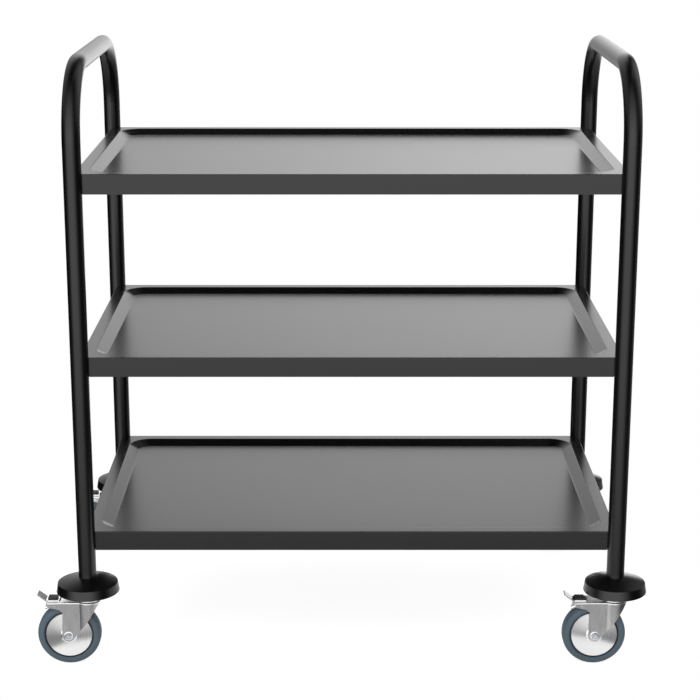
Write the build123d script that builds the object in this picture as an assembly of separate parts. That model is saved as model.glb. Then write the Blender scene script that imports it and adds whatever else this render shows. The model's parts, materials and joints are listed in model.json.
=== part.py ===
from build123d import *
import os
from math import acos, atan2, cos, degrees, hypot, radians, sin, sqrt

# Three-shelf serving cart on four braked swivel casters.
# Millimetres, Z up, the floor at Z = 0, the front of the cart towards -Y.
# The origin is on the floor, at the middle of the whole cart with its casters trailing to -X.

# Side frames
leg_span_x = 833.0
leg_span_y = 512.0
tube_diameter = 28.0
tube_wall = 1.2
handle_bend_radius = 110.0
handle_rise = 168.4

# Shelves
shelf_count = 3
shelf_rise = 73.9
shelf_spacing = 282.5
shelf_inset = 1.0
shelf_sheet = 1.0
apron_height = 30.6
apron_return = 10.0
rim_bend = 1.4
rim_width = 19.0
recess_depth = 9.0
recess_run = 17.0
recess_corner = 37.0
recess_top_bend = 3.0
recess_floor_bend = 6.0
leg_gap = 0.3

# Shelf bolts and rivet nuts
bolt_radius = 3.0
bolt_reach = 11.0
bolt_head_radius = 5.3
bolt_head_top = 3.3
bolt_head_height = 3.3
bolt_washer_radius = 6.5
bolt_washer_height = 1.2
bolt_socket = 2.3
bolt_socket_depth = 2.0
rivet_wall = 1.4
rivet_length = 12.0
rivet_bulge = 1.6
rivet_bulge_length = 2.3

# Caster stem and its plug in the leg
stem_radius = 6.0
stem_reach = 30.0
insert_height = 34.0

# Bumper
bumper_radius = 49.7
bumper_flare = 2.5
bumper_band = 15.0
bumper_height = 24.0
bumper_edge = 1.0
bumper_crown = 0.8
bumper_skin = 4.0
bumper_hub_wall = 9.0

# Wheel
wheel_radius = 50.0
wheel_width = 25.0
tyre_depth = 11.0
tyre_shoulder = 7.5
tyre_lead = 1.5
hub_rim = 4.5
hub_rim_inset = 3.4
hub_web = 7.0
hub_boss_wall = 8.0
hub_draft = 1.0

# Fork: crown, legs and wings, their reaches measured from the swivel axis or the axle
caster_trail = 31.4
crown_gap = 3.5
crown_radius = 20.5
crown_nose = 19.2
fork_sheet = 2.5
fork_side_gap = 1.3
fork_bend = 1.2
fork_boss_radius = 10.0
fork_knee_reach = 31.9
fork_knee_rise = 25.5
leg_rear_reach = 8.4
leg_rear_drop = 17.0
wing_reach = 63.0
wing_panel_reach = 37.8
wing_flare = 1.6
wing_tip_depth = 7.6
wing_root_reach = 45.5
wing_root_depth = 12.0
wing_corner = 2.0

# Swivel bearing
ball_radius = 3.0
ball_count = 12
ball_ring_radius = 14.0
race_thickness = 3.4
race_margin = 1.0
race_skirt = 1.6
race_lift = 1.2
shoulder_radius = 11.0
shoulder_height = 5.2
king_head_radius = 9.0
king_head_height = 3.4
turned_lead = 1.0

# Axle and thread guards
axle_radius = 4.0
bush_wall = 1.95
axle_flange_radius = 7.0
axle_flange_height = 0.8
axle_head_radius = 5.6
axle_head_height = 2.4
axle_dome = 0.9
axle_socket = 3.0
axle_socket_depth = 1.8
axle_tail = 2.0
nut_flats = 13.0
nut_height = 6.5
nut_collar_radius = 6.0
nut_collar_height = 1.4
guard_sheet = 1.0
guard_pad = 3.0
guard_slope = 4.0
guard_dish = 1.4
guard_cone = 1.0
guard_lip = 1.2
guard_tyre_gap = 1.8

# Brake pedal, its pin and its pad
pedal_pin_radius = 2.5
pedal_pin_behind = 21.5
pedal_pin_drop = 0.2
pedal_pin_proud = 0.2
pedal_pin_lead = 0.5
pedal_barrel_wall = 1.6
pedal_sheet = 2.0
pedal_lift = 0.5
pedal_half_width = 9.5
pedal_flat = 13.4
pedal_tip_reach = 13.2
pedal_tip_rise = 10.0
pedal_inner = 7.5
pedal_slot_gap = 0.8
pedal_slot_end = 2.0
saddle_half = 3.0
brake_angle = 12.0
brake_gap = 0.6
brake_contact_angle = 128.0
shoe_length = 8.0
shoe_half_width = 6.0
shoe_neck_half_width = 3.6
pad_length = 15.0
pad_from_toe = 3.3
pad_half_width = 8.0
pad_height = 3.6
pad_corner = 1.5
pad_edge = 0.5
pad_groove = 1.0
pad_groove_count = 4

# Clearances
thread_gap = 0.05
running_gap = 0.06
bolt_hole_gap = 0.3
race_gap = 0.15
bond_gap = 0.05
side_play = 0.3
seat_gap = 0.1

# Heights worked out from the floor up
tube_radius = tube_diameter / 2
tube_bore = tube_radius - tube_wall
crown_under = 2 * wheel_radius + crown_gap
crown_top = crown_under + fork_sheet
race_under = crown_top + 2 * (ball_radius + race_gap)
race_top = race_under + race_thickness
bumper_bottom = race_top + shoulder_height
leg_foot = bumper_bottom + bumper_height
shelf_tops = [leg_foot + shelf_rise + n * shelf_spacing for n in range(shelf_count)]
frame_top = shelf_tops[-1] + handle_rise
grip_height = frame_top - tube_radius

# Fork widths and places, in the side view with the swivel axis at X = 0
fork_inner = wheel_width / 2 + fork_side_gap
fork_outer = fork_inner + fork_sheet
axle_x = -caster_trail
leg_rear = axle_x - leg_rear_reach
beyond_tail = -2 * wing_reach

# Pedal hinge and brake shoe, in the same view
pin_x = axle_x - pedal_pin_behind
pin_z = crown_under - pedal_pin_radius - pedal_pin_drop
lever_z = crown_top + pedal_lift
lever_end = pin_x - pedal_flat
barrel_radius = pedal_pin_radius + pedal_barrel_wall
slot_front = pin_x + pedal_inner + pedal_slot_end
tip_x = lever_end - pedal_tip_reach
tip_z = lever_z + pedal_tip_rise

# The middle of the whole cart, between the rear of its wheels or toes and the far bumpers
tip_slope = hypot(pedal_tip_reach, pedal_tip_rise)
tip_edge = tip_x - pedal_sheet / 2 * pedal_tip_rise / tip_slope
reach_rear = max(-tip_edge, caster_trail + wheel_radius)
band_slope = atan2(bumper_flare, bumper_band)
bumper_reach = bumper_radius - bumper_edge * ((1 + sin(band_slope)) / cos(band_slope) - 1)
middle_shift = (reach_rear - bumper_reach) / 2

leg_signs = [(-1, -1), (1, -1), (-1, 1), (1, 1)]
corner_names = ["front_left", "front_right", "rear_left", "rear_right"]
upward = (Align.CENTER, Align.CENTER, Align.MIN)


def leg_place(sign):
    """Plan position of a leg's axis, from the middle of the shelves."""
    return sign[0] * leg_span_x / 2, sign[1] * leg_span_y / 2


def turned(points):
    """Solid turned about Z from a closed outline of (radius, height) points."""
    return revolve(Plane.XZ * make_face(Polyline(*points, close=True)), Axis.Z)


def across(solid):
    """A piece turned about Z, laid on the wheel's axis."""
    return Pos(axle_x, 0, wheel_radius) * Rot(90, 0, 0) * solid


def pin_rod(radius, half_length):
    """Rod on the axis of the pedal's pin."""
    return Pos(pin_x, 0, pin_z) * Rot(90, 0, 0) * Cylinder(radius, 2 * half_length)


def side_plate(sketch, half_width):
    """A side-view sketch made into a plate of even thickness about Y = 0."""
    return extrude(Plane.XZ * sketch, half_width, both=True)


def outline(points):
    """Flat face inside a closed outline of straight lines."""
    return make_face(Polyline(*points, close=True))


def bolt_plane(sign, rim_height):
    """Plane at a leg's axis that faces the inside of the shelf along its diagonal."""
    x, y = leg_place(sign)
    height = rim_height - apron_height / 2
    return Plane(origin=(x, y, height), x_dir=(0, 0, 1), z_dir=(-sign[0], -sign[1], 0))


# Side frame


def side_frame(side):
    """Bent tube: two legs and the handle between them."""
    x = side * leg_span_x / 2
    half_y = leg_span_y / 2
    corners = [(x, -half_y, leg_foot), (x, -half_y, grip_height)]
    corners += [(x, half_y, grip_height), (x, half_y, leg_foot)]
    route = FilletPolyline(*corners, radius=handle_bend_radius)
    start = Plane(origin=route @ 0, z_dir=route % 0)
    tube = sweep(start * Circle(tube_radius), path=route)
    tube -= sweep(start * Circle(tube_bore), path=route)
    hole = Cylinder(bolt_radius + rivet_wall + thread_gap, tube_diameter, align=upward)
    for sign in leg_signs:
        if sign[0] == side:
            for rim_height in shelf_tops:
                tube -= bolt_plane(sign, rim_height) * hole
    return tube


# Shelf


def shelf_outline(inward=0.0):
    """Plan of a shelf, cut away round the legs, drawn in from its edge by a distance."""
    width = leg_span_x - 2 * inward
    depth = leg_span_y - 2 * (shelf_inset + inward)
    plan = Rectangle(width, depth)
    for sign in leg_signs:
        plan -= Pos(*leg_place(sign)) * Circle(tube_radius + leg_gap + inward)
    return plan


def recess(outward=0.0):
    """The pressed recess as a solid under Z = 0, grown by a sheet's thickness."""
    width = leg_span_x - 2 * rim_width + 2 * outward
    depth = leg_span_y - 2 * (shelf_inset + rim_width) + 2 * outward
    slope = degrees(atan2(recess_run, recess_depth))
    plan = RectangleRounded(width, depth, recess_corner + outward)
    pocket = extrude(plan, recess_depth + outward, dir=(0, 0, -1), taper=slope)
    return fillet(pocket.edges().group_by(Axis.Z)[0], recess_floor_bend)


def rounded_top(solid, radius):
    """A shelf block with its straight top edges rounded."""
    return fillet(solid.edges().group_by(Axis.Z)[-1].filter_by(GeomType.LINE), radius)


def shelf(rim_height):
    """Pressed tray with its apron turned down and returned at the bottom edge."""
    body = rounded_top(extrude(shelf_outline(), apron_height, dir=(0, 0, -1)), rim_bend)
    hollow_height = apron_height - 2 * shelf_sheet
    hollow = Pos(0, 0, -shelf_sheet) * extrude(shelf_outline(shelf_sheet), hollow_height, dir=(0, 0, -1))
    body -= rounded_top(hollow, rim_bend - shelf_sheet)
    mouth = extrude(shelf_outline(shelf_sheet + apron_return), 2 * apron_height, dir=(0, 0, -1))
    body -= mouth & Pos(0, 0, -apron_height) * Box(leg_span_x, leg_span_y, 4 * shelf_sheet)
    body += recess(shelf_sheet)
    body -= recess()
    body = fillet([edge for edge in body.edges() if on_recess_mouth(edge)], recess_top_bend)
    tray = Pos(0, 0, rim_height) * body
    hole = Cylinder(bolt_radius + bolt_hole_gap, 2 * tube_diameter, align=upward)
    for sign in leg_signs:
        tray -= bolt_plane(sign, rim_height) * hole & corner_block(sign, rim_height)
    return tray


def on_recess_mouth(edge):
    """True for the edges where the rim turns down into the recess."""
    middle = edge @ 0.5
    inside_x = abs(middle.X) < leg_span_x / 2 - rim_width / 2
    inside_y = abs(middle.Y) < leg_span_y / 2 - shelf_inset - rim_width / 2
    return abs(middle.Z) < 1e-4 and inside_x and inside_y


def corner_block(sign, rim_height):
    """The space near a leg that the bolt hole may cut."""
    x, y = leg_place(sign)
    reach = 2 * (tube_radius + leg_gap + shelf_sheet)
    return Pos(x, y, rim_height - apron_height / 2) * Box(reach, reach, apron_height)


# Fasteners in the shelf corners


def shelf_bolt():
    """Button-head screw with a washer face, its axis along Z from the leg's axis."""
    seat = tube_radius + leg_gap + shelf_sheet + thread_gap
    washer_end = seat + bolt_washer_height
    head_end = washer_end + bolt_head_height
    points = [(0, seat - bolt_reach), (bolt_radius, seat - bolt_reach), (bolt_radius, seat)]
    points += [(bolt_washer_radius, seat), (bolt_washer_radius, washer_end)]
    points += [(bolt_head_radius, washer_end), (bolt_head_radius, washer_end + bolt_head_height / 3)]
    points += [(bolt_head_top, head_end), (0, head_end)]
    socket = extrude(RegularPolygon(bolt_socket, 6), 2 * bolt_socket_depth)
    return turned(points) - Pos(0, 0, head_end - bolt_socket_depth) * socket


def rivet_nut():
    """Threaded barrel in the leg's wall, with the bulge that grips it from inside."""
    bore = bolt_radius + thread_gap
    barrel = bolt_radius + rivet_wall
    bulge = barrel + rivet_bulge
    outer_end = sqrt(tube_radius**2 - barrel**2)
    grip = sqrt(tube_bore**2 - bulge**2) - thread_gap
    points = [(bore, outer_end - rivet_length), (barrel, outer_end - rivet_length)]
    points += [(barrel, grip - rivet_bulge_length), (bulge, grip - rivet_bulge_length / 2)]
    points += [(bulge, grip), (barrel, grip), (barrel, outer_end), (bore, outer_end)]
    return turned(points)


def in_each_corner(piece):
    """Copies of a corner fastener in every corner of every shelf."""
    return [bolt_plane(sign, top) * piece for top in shelf_tops for sign in leg_signs]


def tube_insert():
    """Threaded plug in the foot of a leg."""
    bore = stem_radius + thread_gap
    outside = tube_bore - thread_gap
    top = leg_foot + insert_height
    points = [(bore, leg_foot), (outside, leg_foot), (outside, top - turned_lead)]
    points += [(outside - turned_lead, top), (bore, top)]
    return turned(points)


# Bumper and swivel head


def bumper():
    """Round buffer: a band that flares towards the floor, and a low cone up to the leg."""
    bore = stem_radius + seat_gap
    lip = bumper_radius - bumper_flare
    band_top = bumper_bottom + bumper_band
    shoulder = ((lip + tube_radius) / 2, (band_top + leg_foot) / 2 + bumper_crown)
    low_edge = (bumper_radius, bumper_bottom)
    high_edge = (lip, band_top)
    collar = (tube_radius + leg_gap, leg_foot)
    profile = [Line((bore, bumper_bottom), low_edge), Line(low_edge, high_edge)]
    profile += [ThreePointArc(high_edge, shoulder, collar)]
    profile += [Line(collar, (bore, leg_foot)), Line((bore, leg_foot), (bore, bumper_bottom))]
    section = make_face(profile)
    section = fillet(section.vertices().sort_by(Axis.X)[-2:], bumper_edge)
    return revolve(Plane.XZ * section, Axis.Z) - bumper_hollow()


def bumper_hollow():
    """Ring-shaped hollow in the underside, between the bumper's skin and its hub."""
    hub = stem_radius + seat_gap + bumper_hub_wall
    wall = bumper_radius - bumper_flare - bumper_skin
    roof = bumper_bottom + bumper_band - bumper_skin
    hub_roof = leg_foot - 2 * bumper_skin
    return turned([(hub, bumper_bottom), (hub, hub_roof), (wall - bumper_skin, roof), (wall, bumper_bottom)])


def swivel_head():
    """Threaded stem, shoulder, upper race with its skirt, and king pin with a riveted end."""
    skirt = ball_ring_radius + ball_radius + race_margin
    race_edge = skirt + race_skirt
    skirt_low = crown_top + race_lift
    king_top = crown_under - side_play
    king_end = king_top - king_head_height
    stem_end = leg_foot + stem_reach
    points = [(0, king_end), (king_head_radius - turned_lead, king_end)]
    points += [(king_head_radius, king_end + turned_lead), (king_head_radius, king_top)]
    points += [(stem_radius, king_top), (stem_radius, race_under), (skirt, race_under)]
    points += [(skirt, skirt_low), (race_edge, skirt_low), (race_edge, race_top - turned_lead)]
    points += [(race_edge - turned_lead, race_top), (shoulder_radius, race_top)]
    points += [(shoulder_radius, bumper_bottom), (stem_radius, bumper_bottom)]
    points += [(stem_radius, stem_end - turned_lead), (stem_radius - turned_lead, stem_end), (0, stem_end)]
    return turned(points)


def swivel_balls():
    """Ring of bearing balls between the head's race and the fork's crown."""
    ring = PolarLocations(ball_ring_radius, ball_count)
    height = crown_top + race_gap + ball_radius
    return [Pos(0, 0, height) * place * Sphere(ball_radius) for place in ring]


# Fork


def wing_outer(x):
    """Half width of the fork outside, at a place on its rear wings."""
    share = (-wing_panel_reach - x) / (wing_reach - wing_panel_reach)
    return fork_outer + wing_flare * share


def fork_plan(inward=0.0):
    """Plan of the fork: a round crown, flat legs beside the wheel, and wings that flare to the rear."""
    flat = fork_outer - inward
    half = [(beyond_tail, wing_outer(beyond_tail) - inward), (-wing_panel_reach, flat), (0, flat)]
    mirrored = [(x, -y) for x, y in reversed(half)]
    return outline(half + mirrored) + Circle(crown_radius - inward)


def fork_side():
    """Side view of the fork: wing, leg with its round boss, and the slanted front edge."""
    knee = (axle_x + fork_knee_reach, wheel_radius + fork_knee_rise)
    lean = atan2(fork_knee_rise, fork_knee_reach)
    turn = lean - acos(fork_boss_radius / hypot(fork_knee_reach, fork_knee_rise))
    tangent = (axle_x + fork_boss_radius * cos(turn), wheel_radius + fork_boss_radius * sin(turn))
    tail_low = (-wing_reach, crown_top - wing_tip_depth)
    wing_root = (-wing_root_reach, crown_top - wing_root_depth)
    above = crown_top + fork_sheet
    points = [(-wing_reach, above), tail_low, wing_root, (leg_rear, crown_top - leg_rear_drop)]
    points += [(axle_x - fork_boss_radius, wheel_radius), (axle_x, wheel_radius), tangent, knee]
    points += [(crown_nose, crown_top), (crown_nose, above)]
    side = outline(points)
    side = fillet(side.vertices().sort_by_distance(tail_low)[0], wing_corner)
    return side + Pos(axle_x, wheel_radius) * Circle(fork_boss_radius)


def fork():
    """Pressed horn: crown with the king pin hole, legs with the axle holes, wings with the pedal pin."""
    low = wheel_radius - 2 * fork_boss_radius
    body = Pos(0, 0, low) * extrude(fork_plan(), crown_top - low)
    body = fillet(body.edges().group_by(Axis.Z)[-1], fork_bend)
    body -= Pos(0, 0, low) * extrude(fork_plan(fork_sheet), crown_under - low)
    slot_width = 2 * (pedal_half_width + pedal_slot_gap)
    slot_place = (Align.MAX, Align.CENTER, Align.CENTER)
    body -= Pos(slot_front, 0, crown_top) * Box(2 * wing_reach, slot_width, 4 * fork_sheet, align=slot_place)
    body &= side_plate(fork_side(), 2 * fork_outer)
    body -= Pos(0, 0, crown_top) * Cylinder(stem_radius + running_gap, 4 * fork_sheet)
    body -= across(Cylinder(axle_radius + seat_gap, 4 * fork_outer))
    return body - pin_rod(pedal_pin_radius + thread_gap, 2 * fork_outer)


# Wheel, axle and thread guards


def tyre():
    """Rubber tread ring with rounded shoulders."""
    inside = wheel_radius - tyre_depth + bond_gap
    section = Pos((inside + wheel_radius) / 2, 0) * Rectangle(wheel_radius - inside, wheel_width)
    section = fillet(section.vertices().group_by(Axis.X)[-1], tyre_shoulder)
    section = chamfer(section.vertices().group_by(Axis.X)[0], tyre_lead)
    return across(revolve(Plane.XZ * section, Axis.Z))


def wheel_hub():
    """Moulded wheel centre: rim, web and boss that runs on the axle bush."""
    bore = axle_radius + thread_gap + bush_wall + running_gap
    boss = bore + hub_boss_wall
    rim = wheel_radius - tyre_depth
    rim_half = wheel_width / 2 - hub_rim_inset
    boss_half = fork_inner - seat_gap - guard_dish - guard_sheet - 2 * side_play
    web = hub_web / 2
    upper = [(bore, boss_half), (boss, boss_half), (boss + hub_draft, web), (rim - hub_rim, web)]
    upper += [(rim - hub_rim + hub_draft, rim_half), (rim, rim_half)]
    lower = [(r, -z) for r, z in reversed(upper)]
    return across(turned(upper + lower))


def axle_bush():
    """Sleeve between the fork's legs that the wheel turns on."""
    bore = axle_radius + thread_gap
    sleeve = Cylinder(bore + bush_wall, 2 * fork_inner) - Cylinder(bore, 3 * fork_inner)
    return across(sleeve)


def axle_bolt():
    """Low flanged socket-head bolt through the fork and the bush, its head to the front."""
    flange_top = fork_outer + axle_flange_height
    top = fork_outer + axle_head_height
    end = -fork_outer - nut_height - axle_tail
    points = [(0, end), (axle_radius - turned_lead, end), (axle_radius, end + turned_lead)]
    points += [(axle_radius, fork_outer), (axle_flange_radius, fork_outer)]
    points += [(axle_flange_radius, fork_outer + axle_flange_height / 2), (axle_head_radius, flange_top)]
    points += [(axle_head_radius, top - axle_dome), (axle_head_radius - axle_dome, top), (0, top)]
    socket = extrude(RegularPolygon(axle_socket, 6), 2 * axle_socket_depth)
    return across(turned(points) - Pos(0, 0, top - axle_socket_depth) * socket)


def axle_nut():
    """Hexagon lock nut with its collar, on the far leg."""
    bore = axle_radius + thread_gap
    blank = extrude(RegularPolygon(nut_flats / 2, 6, major_radius=False), nut_height)
    collar = Cylinder(nut_collar_radius, nut_height + nut_collar_height, align=upward)
    nut = blank + collar - Cylinder(bore, 4 * nut_height)
    return across(Pos(0, 0, -fork_outer) * Rot(180, 0, 0) * nut)


def thread_guard():
    """Dished disc beside the hub, its raised middle held between the bush and a leg."""
    bore = axle_radius + thread_gap + bush_wall + seat_gap
    rim = wheel_radius - tyre_depth - guard_tyre_gap
    seat = fork_inner - seat_gap
    pad = bore + guard_pad
    slope_end = pad + guard_slope
    dish = seat - guard_dish
    edge = dish - guard_cone
    shoulder = rim - guard_lip
    lip_low = edge - guard_lip
    face = [(bore, seat), (pad, seat), (slope_end, dish), (shoulder, edge), (rim, lip_low)]
    back = [(rim - guard_sheet, lip_low), (shoulder, edge - guard_sheet), (slope_end, dish - guard_sheet)]
    back += [(pad, seat - guard_sheet), (bore, seat - guard_sheet)]
    return turned(face + back)


def thread_guards():
    """The pair of guards, one on each side of the wheel."""
    guard = thread_guard()
    return [across(guard), across(Rot(180, 0, 0) * guard)]


# Brake pedal


def turn_about_pin(point, angle):
    """Side-view point turned about the pedal's pin, positive as the pedal is pressed."""
    dx = point[0] - pin_x
    dz = point[1] - pin_z
    c = cos(radians(angle))
    s = sin(radians(angle))
    return pin_x + dx * c - dz * s, pin_z + dx * s + dz * c


def shoe_points():
    """The shoe's face and back, drawn against the tyre and turned back to rest."""
    direction = radians(brake_contact_angle)
    out = (cos(direction), sin(direction))
    along = (out[1], -out[0])
    near = wheel_radius + brake_gap
    places = []
    for depth, step in ((0, 0.5), (0, -0.5), (pedal_sheet, -0.5), (pedal_sheet, 0.5)):
        x = axle_x + (near + depth) * out[0] + shoe_length * step * along[0]
        z = wheel_radius + (near + depth) * out[1] + shoe_length * step * along[1]
        places.append(turn_about_pin((x, z), -brake_angle))
    return places


def brake_pedal():
    """Lever with its hinge barrel, turned-up toe and brake shoe."""
    bend = (lever_end, lever_z)
    lever = trace(Polyline((pin_x + pedal_inner, lever_z), bend, (tip_x, tip_z)), pedal_sheet)
    body = side_plate(lever, pedal_half_width)
    face_in, face_out, back_out, back_in = shoe_points()
    neck = [(lever_end + 1, lever_z), (lever_end + 1 + 2 * pedal_sheet, lever_z), back_in, back_out]
    body += side_plate(outline([face_in, face_out, back_out, back_in]), shoe_half_width)
    body += side_plate(outline(neck), shoe_neck_half_width)
    saddle = [(pin_x - saddle_half, pin_z), (pin_x + saddle_half, pin_z)]
    saddle += [(pin_x + saddle_half, lever_z), (pin_x - saddle_half, lever_z)]
    body += side_plate(outline(saddle), pedal_half_width)
    body += pin_rod(barrel_radius, pedal_half_width)
    return body - pin_rod(pedal_pin_radius + running_gap, 2 * pedal_half_width)


def pedal_pin():
    """Hinge pin, its ends a little proud of the wings."""
    half = wing_outer(pin_x - pedal_pin_radius) + pedal_pin_proud
    pin = Cylinder(pedal_pin_radius, 2 * half)
    return Pos(pin_x, 0, pin_z) * Rot(90, 0, 0) * chamfer(pin.edges(), pedal_pin_lead)


def pedal_pad():
    """Ribbed block on the flat of the lever."""
    block = Box(pad_length, 2 * pad_half_width, pad_height, align=upward)
    block = fillet(block.edges().filter_by(Axis.Z), pad_corner)
    block = chamfer(block.edges().group_by(Axis.Z)[-1], pad_edge)
    pitch = pad_length / (pad_groove_count + 1)
    for n in range(pad_groove_count):
        x = (n + 1) * pitch - pad_length / 2
        block -= Pos(x, 0, pad_height) * Box(pad_groove, 4 * pad_half_width, 2 * pad_groove)
    return Pos(lever_end + pad_from_toe + pad_length / 2, 0, lever_z + pedal_sheet / 2) * block


# Assembly


def caster_pieces():
    """Every piece of one caster and its bumper, with the swivel axis at X = Y = 0."""
    return {
        "bumper": [bumper()],
        "swivel_head": [swivel_head()],
        "swivel_balls": swivel_balls(),
        "fork": [fork()],
        "axle_bolt": [axle_bolt()],
        "axle_nut": [axle_nut()],
        "axle_bush": [axle_bush()],
        "thread_guards": thread_guards(),
        "wheel_hub": [wheel_hub()],
        "tyre": [tyre()],
        "brake_pedal": [brake_pedal()],
        "pedal_pad": [pedal_pad()],
        "pedal_pin": [pedal_pin()],
    }


def whole_cart():
    """The solids of every node by its name, about the middle of the shelves."""
    nodes = {"left_side_frame": [side_frame(-1)], "right_side_frame": [side_frame(1)]}
    for name, top in zip(("bottom_shelf", "middle_shelf", "top_shelf"), shelf_tops):
        nodes[name] = [shelf(top)]
    nodes["shelf_bolts"] = in_each_corner(shelf_bolt())
    nodes["rivet_nuts"] = in_each_corner(rivet_nut())
    nodes["tube_inserts"] = [Pos(*leg_place(sign), 0) * tube_insert() for sign in leg_signs]
    caster = caster_pieces()
    for corner, sign in zip(corner_names, leg_signs):
        for name, pieces in caster.items():
            nodes[corner + "_" + name] = [Pos(*leg_place(sign), 0) * piece for piece in pieces]
    return nodes


os.makedirs("parts", exist_ok=True)
for node, pieces in whole_cart().items():
    solids = [solid for piece in pieces for solid in (Pos(middle_shift, 0, 0) * piece).solids()]
    export_step(Compound(solids), "parts/" + node + ".step")
print("legs at x", [round(side * leg_span_x / 2 + middle_shift, 3) for side in (-1, 1)])
print("shelf rims at z", [round(top, 2) for top in shelf_tops], "frame top", round(frame_top, 2))
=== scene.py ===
import json
from math import cos, pi, radians, sin

import bpy
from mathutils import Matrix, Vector

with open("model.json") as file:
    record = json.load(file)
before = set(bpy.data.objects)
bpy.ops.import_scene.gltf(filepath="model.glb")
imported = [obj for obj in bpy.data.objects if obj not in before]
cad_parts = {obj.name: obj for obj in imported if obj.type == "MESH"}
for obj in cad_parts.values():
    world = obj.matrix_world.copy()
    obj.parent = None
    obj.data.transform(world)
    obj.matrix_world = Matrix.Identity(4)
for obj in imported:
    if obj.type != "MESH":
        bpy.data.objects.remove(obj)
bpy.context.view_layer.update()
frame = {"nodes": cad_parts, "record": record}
nodes = frame["nodes"]

# Looks. Colours are linear, depths and heights are in metres.

# Spans of a noise's values over which a look changes
CLOUD_SPAN = (0.3, 0.7)
GRAIN_SPAN = (0.25, 0.75)
WORN_SPAN = (0.35, 0.65)

SURFACE_IOR = 1.5

COAT_DARK = (0.0027, 0.0028, 0.0030)
COAT_LIGHT = (0.0034, 0.0034, 0.0035)
COAT_ROUGHNESS = (0.267, 0.273)
COAT_PEEL_DEPTH = 0.000003

METAL_GRAIN = 500.0

FORK_LEVEL = (0.40, 0.50)
FORK_ROUGHNESS = (0.26, 0.36)
FORK_STREAK_DEPTH = 0.000004
# Painted highlight added to the forks' base colour along their top bend, standing in for the bend's
# reflection, and the heights over which it starts
FORK_PAINTED_HIGHLIGHT_LEVEL = 0.5
FORK_PAINTED_HIGHLIGHT_Z = (0.1030, 0.1044)

DISC_DARK = (0.68, 0.68, 0.685)
DISC_LIGHT = (0.78, 0.78, 0.78)
DISC_ROUGHNESS = (0.17, 0.23)
DISC_RINGS = 90.0

# Dark and light colour, roughness span and grain depth
METALS = {
    "zinc_bolt": ((0.62, 0.63, 0.65), (0.74, 0.75, 0.77), (0.20, 0.28), 0.000003),
    "bearing_steel": ((0.55, 0.55, 0.56), (0.62, 0.62, 0.63), (0.12, 0.2), 0.000002),
    "zinc_lever": ((0.84, 0.85, 0.86), (0.91, 0.92, 0.93), (0.12, 0.18), 0.000002),
}

# Dark and light colour, roughness span, grain scale and grain depth
MOULDINGS = {
    "bumper_plastic": ((0.0030, 0.0030, 0.0032), (0.0040, 0.0040, 0.0043), (0.23, 0.26), 900.0, 0.000002),
    # Hub: a dark moulding, set darker still so that it paints the shade in the gap between guard disc and
    # tyre
    "hub_plastic": ((0.006, 0.007, 0.008), (0.009, 0.010, 0.012), (0.42, 0.50), 700.0, 0.000004),
    "tyre_rubber": ((0.072, 0.107, 0.134), (0.088, 0.127, 0.156), (0.50, 0.60), 900.0, 0.000006),
    "pad_rubber": ((0.006, 0.006, 0.007), (0.009, 0.009, 0.010), (0.42, 0.50), 900.0, 0.000006),
}

# Studio

FLOOR_GLOW = 0.88
FLOOR_GREY = (0.32, 0.32, 0.32)
FLOOR_HALF_X = 0.66
FLOOR_HALF_Y = 0.46
FLOOR_SIDES = 96

# Camera, from the picture's vanishing points
CAMERA_PLACE = (0.00222, -3.0424, 1.2391)
CAMERA_PITCH = 15.49
CAMERA_LENS = 96.96
CAMERA_SENSOR = 36.0
CAMERA_SHIFT = (0.0104, 0.0422)
CAMERA_REACH = 50.0

KEY_PLACE = (-1.6, -2.8, 2.4)
KEY_AIM = (0, 0, 0.4)
KEY_SIZE = 1.8
KEY_WATTS = 30

# Level of the world on matt surfaces
MATT_FILL = 0.85

# How far the backdrop leans left for each degree that it rises
BACKDROP_LEAN = 0.49

# Soft boxes that the gloss shows: the angle that each is laid out along, the
# degrees over which it fades in and out along that angle, and then in height,
# and its strength, where 1 is white. None is an edge that a box doesn't have.
SOFT_BOXES = (
    # Large box behind the camera, from the left to a little right of it
    ("turn", (-83, -36), (5, 59), (-25, -12), (0, 95), 1.78),
    # Backdrop behind the cart
    ("lean", (-35, 17), (20, 25), (-43, -11), (19, 60), 1.55),
    # Bright strip low on the backdrop
    ("away", (-4, 7), (7, 18), (-20, -8), (0, 12), 0.98),
    # Weak box behind on the right
    ("away", (13, 55), (55, 97), (-40, 0), None, 0.48),
    # Pale ground all round
    ("away", None, None, None, (-50, -12), 0.41),
    # Soft fill from both walls, above the horizon
    ("wall", (55, 80), (135, 165), (3, 14), (38, 66), 0.32),
)

# Shader helpers


def new_material(name):
    """Empty material and its shader, joined to the output."""
    material = bpy.data.materials.new(name)
    material.use_nodes = True
    tree = material.node_tree
    tree.nodes.clear()
    output = tree.nodes.new("ShaderNodeOutputMaterial")
    shader = tree.nodes.new("ShaderNodeBsdfPrincipled")
    tree.links.new(shader.outputs["BSDF"], output.inputs["Surface"])
    return material, tree, shader


def math_node(tree, operation, first, second=None, third=None):
    """Math node with sockets or numbers as its inputs."""
    node = tree.nodes.new("ShaderNodeMath")
    node.operation = operation
    for slot, value in enumerate((first, second, third)):
        if value is None:
            continue
        if isinstance(value, (int, float)):
            node.inputs[slot].default_value = value
        else:
            tree.links.new(value, node.inputs[slot])
    return node.outputs[0]


def vector_node(tree, operation, first, second=None):
    """Vector Math node on a socket, with a constant as its second input."""
    node = tree.nodes.new("ShaderNodeVectorMath")
    node.operation = operation
    tree.links.new(first, node.inputs[0])
    if second is not None:
        node.inputs[1].default_value = second
    return node


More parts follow.
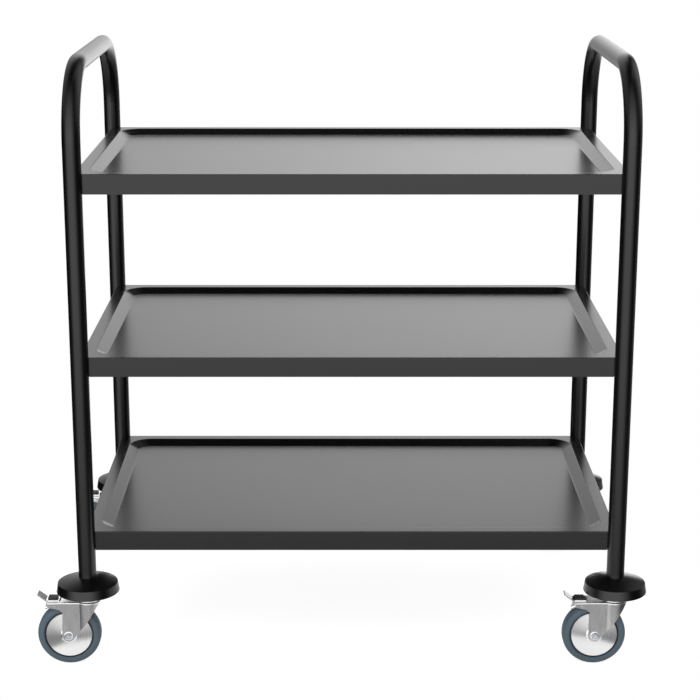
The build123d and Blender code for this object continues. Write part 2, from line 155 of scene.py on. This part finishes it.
def map_range(tree, value, low, high, out_low, out_high, smooth=False):
    """Map Range node from one interval to another."""
    node = tree.nodes.new("ShaderNodeMapRange")
    if smooth:
        node.interpolation_type = "SMOOTHSTEP"
    tree.links.new(value, node.inputs["Value"])
    node.inputs["From Min"].default_value = low
    node.inputs["From Max"].default_value = high
    node.inputs["To Min"].default_value = out_low
    node.inputs["To Max"].default_value = out_high
    return node.outputs["Result"]


def noise(tree, scale, detail=3.0, roughness=0.5, stretch=(1, 1, 1)):
    """Noise in the object's own metres, stretched along its axes."""
    place = tree.nodes.new("ShaderNodeTexCoord")
    mapping = tree.nodes.new("ShaderNodeMapping")
    mapping.inputs["Scale"].default_value = stretch
    tree.links.new(place.outputs["Object"], mapping.inputs["Vector"])
    texture = tree.nodes.new("ShaderNodeTexNoise")
    texture.inputs["Scale"].default_value = scale
    texture.inputs["Detail"].default_value = detail
    texture.inputs["Roughness"].default_value = roughness
    tree.links.new(mapping.outputs["Vector"], texture.inputs["Vector"])
    return texture.outputs["Fac"]


def worn(tree, grain):
    """Fine grain laid over a slow cloud."""
    cloud = noise(tree, 40.0, 3.0, 0.6)
    return math_node(tree, "MULTIPLY_ADD", grain, 0.6, math_node(tree, "MULTIPLY", cloud, 0.4))


def set_color(tree, shader, value, span, dark, light):
    """Base colour that goes from dark to light over a span of a value."""
    node = tree.nodes.new("ShaderNodeMix")
    node.data_type = "RGBA"
    tree.links.new(map_range(tree, value, *span, 0.0, 1.0), node.inputs["Factor"])
    node.inputs[6].default_value = (*dark, 1)
    node.inputs[7].default_value = (*light, 1)
    tree.links.new(node.outputs[2], shader.inputs["Base Color"])


def set_roughness(tree, shader, value, span, roughness):
    """Roughness that goes from its low to its high end over a span of a value."""
    tree.links.new(map_range(tree, value, *span, *roughness), shader.inputs["Roughness"])


def bump(tree, shader, height, distance):
    """Bump of a real depth, in metres."""
    node = tree.nodes.new("ShaderNodeBump")
    node.inputs["Distance"].default_value = distance
    node.inputs["Strength"].default_value = 1.0
    tree.links.new(height, node.inputs["Height"])
    tree.links.new(node.outputs["Normal"], shader.inputs["Normal"])


def background_rays(tree):
    """Light Path node, and 1 for rays from the camera and through glass."""
    path = tree.nodes.new("ShaderNodeLightPath")
    seen = math_node(tree, "MAXIMUM", path.outputs["Is Camera Ray"], path.outputs["Is Transmission Ray"])
    return path, seen


# Materials


def black_coat():
    """Satin black powder coat: faint orange peel and a little change in gloss."""
    material, tree, shader = new_material("black_coat")
    cloud = noise(tree, 5.0, 2.0)
    peel = noise(tree, 420.0, 2.0, 0.4)
    set_color(tree, shader, cloud, CLOUD_SPAN, COAT_DARK, COAT_LIGHT)
    set_roughness(tree, shader, cloud, CLOUD_SPAN, COAT_ROUGHNESS)
    shader.inputs["IOR"].default_value = SURFACE_IOR
    bump(tree, shader, peel, COAT_PEEL_DEPTH)
    return material


def metal(name, dark, light, roughness, grain_depth):
    """Metal with fine grain in its brightness, gloss and height."""
    material, tree, shader = new_material(name)
    grain = noise(tree, METAL_GRAIN, 3.0, 0.6)
    set_color(tree, shader, worn(tree, grain), WORN_SPAN, dark, light)
    set_roughness(tree, shader, grain, GRAIN_SPAN, roughness)
    shader.inputs["Metallic"].default_value = 1.0
    bump(tree, shader, grain, grain_depth)
    return material


def fork_zinc():
    """Zinc-plated sheet with rolled streaks, and a painted highlight in its colour along its top bend."""
    material, tree, shader = new_material("zinc_plate")
    streak = noise(tree, 800.0, 3.0, 0.6, (1, 1, 0.05))
    sheet = map_range(tree, worn(tree, streak), *WORN_SPAN, *FORK_LEVEL)
    place = tree.nodes.new("ShaderNodeTexCoord")
    split = tree.nodes.new("ShaderNodeSeparateXYZ")
    tree.links.new(place.outputs["Object"], split.inputs["Vector"])
    # Painted highlight: the base colour grows brighter towards the top bend, in place of the bend's
    # reflection
    painted_highlight = map_range(tree, split.outputs["Z"], *FORK_PAINTED_HIGHLIGHT_Z, 0, FORK_PAINTED_HIGHLIGHT_LEVEL, smooth=True)
    tree.links.new(math_node(tree, "ADD", sheet, painted_highlight), shader.inputs["Base Color"])
    set_roughness(tree, shader, streak, GRAIN_SPAN, FORK_ROUGHNESS)
    shader.inputs["Metallic"].default_value = 1.0
    bump(tree, shader, streak, FORK_STREAK_DEPTH)
    return material


def brushed_disc():
    """Sheet steel brushed in rings round the axle."""
    material, tree, shader = new_material("guard_steel")
    place = tree.nodes.new("ShaderNodeTexCoord")
    middle = vector_node(tree, "SUBTRACT", place.outputs["Generated"], (0.5, 0.5, 0.5))
    flat = vector_node(tree, "MULTIPLY", middle.outputs["Vector"], (1, 0, 1))
    radius = vector_node(tree, "LENGTH", flat.outputs["Vector"])
    scratches = tree.nodes.new("ShaderNodeTexNoise")
    scratches.noise_dimensions = "1D"
    scratches.inputs["Scale"].default_value = DISC_RINGS
    scratches.inputs["Detail"].default_value = 3.0
    tree.links.new(radius.outputs["Value"], scratches.inputs["W"])
    set_color(tree, shader, scratches.outputs["Fac"], CLOUD_SPAN, DISC_DARK, DISC_LIGHT)
    set_roughness(tree, shader, scratches.outputs["Fac"], CLOUD_SPAN, DISC_ROUGHNESS)
    shader.inputs["Metallic"].default_value = 1.0
    shader.inputs["Anisotropic"].default_value = 0.6
    shader.inputs["Anisotropic Rotation"].default_value = 0.25
    around = tree.nodes.new("ShaderNodeTangent")
    around.direction_type = "RADIAL"
    around.axis = "Y"
    tree.links.new(around.outputs["Tangent"], shader.inputs["Tangent"])
    return material


def moulded(name, dark, light, roughness, grain_scale, grain_depth):
    """Moulded rubber or plastic with a fine skin."""
    material, tree, shader = new_material(name)
    cloud = noise(tree, 35.0, 3.0)
    grain = noise(tree, grain_scale, 2.0)
    set_color(tree, shader, cloud, CLOUD_SPAN, dark, light)
    set_roughness(tree, shader, cloud, CLOUD_SPAN, roughness)
    shader.inputs["IOR"].default_value = SURFACE_IOR
    bump(tree, shader, grain, grain_depth)
    return material


def floor_paint():
    """Pale floor that reads as white beside the white background and keeps a soft shadow."""
    material = bpy.data.materials.new("floor_paint")
    material.use_nodes = True
    tree = material.node_tree
    tree.nodes.clear()
    output = tree.nodes.new("ShaderNodeOutputMaterial")
    diffuse = tree.nodes.new("ShaderNodeBsdfDiffuse")
    diffuse.inputs["Color"].default_value = (*FLOOR_GREY, 1)
    glow = tree.nodes.new("ShaderNodeEmission")
    glow.inputs["Color"].default_value = (1, 1, 1, 1)
    path, seen = background_rays(tree)
    seen = math_node(tree, "MAXIMUM", seen, path.outputs["Is Glossy Ray"])
    tree.links.new(math_node(tree, "MULTIPLY", seen, FLOOR_GLOW), glow.inputs["Strength"])
    both = tree.nodes.new("ShaderNodeAddShader")
    tree.links.new(diffuse.outputs["BSDF"], both.inputs[0])
    tree.links.new(glow.outputs["Emission"], both.inputs[1])
    tree.links.new(both.outputs["Shader"], output.inputs["Surface"])
    return material


# Scene


def camera():
    """Camera at the photograph's place."""
    data = bpy.data.cameras.new("camera")
    data.lens = CAMERA_LENS
    data.sensor_width = CAMERA_SENSOR
    data.shift_x, data.shift_y = CAMERA_SHIFT
    data.clip_end = CAMERA_REACH
    view = bpy.data.objects.new("camera", data)
    view.location = CAMERA_PLACE
    view.rotation_euler = (radians(90 - CAMERA_PITCH), 0, 0)
    bpy.context.scene.collection.objects.link(view)
    bpy.context.scene.camera = view


def studio_floor():
    """Oval pale floor under the cart."""
    mesh = bpy.data.meshes.new("floor")
    rim = [2 * pi * n / FLOOR_SIDES for n in range(FLOOR_SIDES)]
    points = [(FLOOR_HALF_X * cos(a), FLOOR_HALF_Y * sin(a), 0) for a in rim]
    mesh.from_pydata(points, [], [list(range(FLOOR_SIDES))])
    mesh.materials.append(floor_paint())
    ground = bpy.data.objects.new("floor", mesh)
    bpy.context.scene.collection.objects.link(ground)


def soft_box(tree, across, rise, edges):
    """Level from 0 to 1 of a box that fades at its edges, across and in height."""
    fades = ((across, 0, 1), (across, 1, 0), (rise, 0, 1), (rise, 1, 0))
    level = 1.0
    for (angle, start, end), edge in zip(fades, edges):
        if edge is not None:
            fade = map_range(tree, angle, *map(radians, edge), start, end, smooth=True)
            level = math_node(tree, "MULTIPLY", fade, level)
    return level


def studio_world():
    """White background, and the soft boxes of the studio that the gloss shows."""
    world = bpy.data.worlds.new("studio")
    bpy.context.scene.world = world
    world.use_nodes = True
    tree = world.node_tree
    tree.nodes.clear()
    output = tree.nodes.new("ShaderNodeOutputWorld")
    background = tree.nodes.new("ShaderNodeBackground")
    place = tree.nodes.new("ShaderNodeTexCoord")
    split = tree.nodes.new("ShaderNodeSeparateXYZ")
    tree.links.new(place.outputs["Generated"], split.inputs["Vector"])
    x, y, z = split.outputs["X"], split.outputs["Y"], split.outputs["Z"]

    # Turn is the angle from -Y and away the angle from +Y, both towards +X
    rise = math_node(tree, "ARCSINE", z)
    turn = math_node(tree, "ARCTAN2", x, math_node(tree, "MULTIPLY", y, -1.0))
    away = math_node(tree, "ARCTAN2", x, y)
    across = {
        "turn": turn,
        "away": away,
        "lean": math_node(tree, "MULTIPLY_ADD", rise, BACKDROP_LEAN, away),
        "wall": math_node(tree, "ABSOLUTE", turn),
    }
    glow = 0.0
    for angle, *edges, strength in SOFT_BOXES:
        box = soft_box(tree, across[angle], rise, edges)
        glow = math_node(tree, "MULTIPLY_ADD", box, strength, glow)

    path, seen = background_rays(tree)
    soft = math_node(tree, "MULTIPLY", path.outputs["Is Diffuse Ray"], MATT_FILL)
    strength = math_node(tree, "MULTIPLY_ADD", path.outputs["Is Glossy Ray"], glow, soft)
    strength = math_node(tree, "ADD", strength, seen)
    background.inputs["Color"].default_value = (1, 1, 1, 1)
    tree.links.new(strength, background.inputs["Strength"])
    tree.links.new(background.outputs["Background"], output.inputs["Surface"])


def key_lamp():
    """Square soft lamp from the left, which the gloss doesn't show."""
    data = bpy.data.lights.new("key", "AREA")
    data.shape = "SQUARE"
    data.size = KEY_SIZE
    data.energy = KEY_WATTS
    light = bpy.data.objects.new("key", data)
    light.location = KEY_PLACE
    toward = Vector(KEY_AIM) - Vector(KEY_PLACE)
    light.rotation_euler = toward.to_track_quat("-Z", "Y").to_euler()
    light.visible_camera = False
    light.visible_glossy = False
    bpy.context.scene.collection.objects.link(light)


def dress_nodes():
    """Give every CAD node the finish of its slot in the record, and the pedals their own zinc."""
    made = {"black_coat": black_coat(), "zinc_plate": fork_zinc(), "guard_steel": brushed_disc()}
    for name, look in METALS.items():
        made[name] = metal(name, *look)
    for name, look in MOULDINGS.items():
        made[name] = moulded(name, *look)
    for row in frame["record"]["subparts"]:
        mesh = nodes[row["node"]].data
        mesh.materials.clear()
        finish = "zinc_lever" if row["node"].endswith("_brake_pedal") else row["material_slot"]
        mesh.materials.append(made[finish])


bpy.context.scene.view_settings.view_transform = "Standard"
camera()
studio_world()
studio_floor()
key_lamp()
dress_nodes()
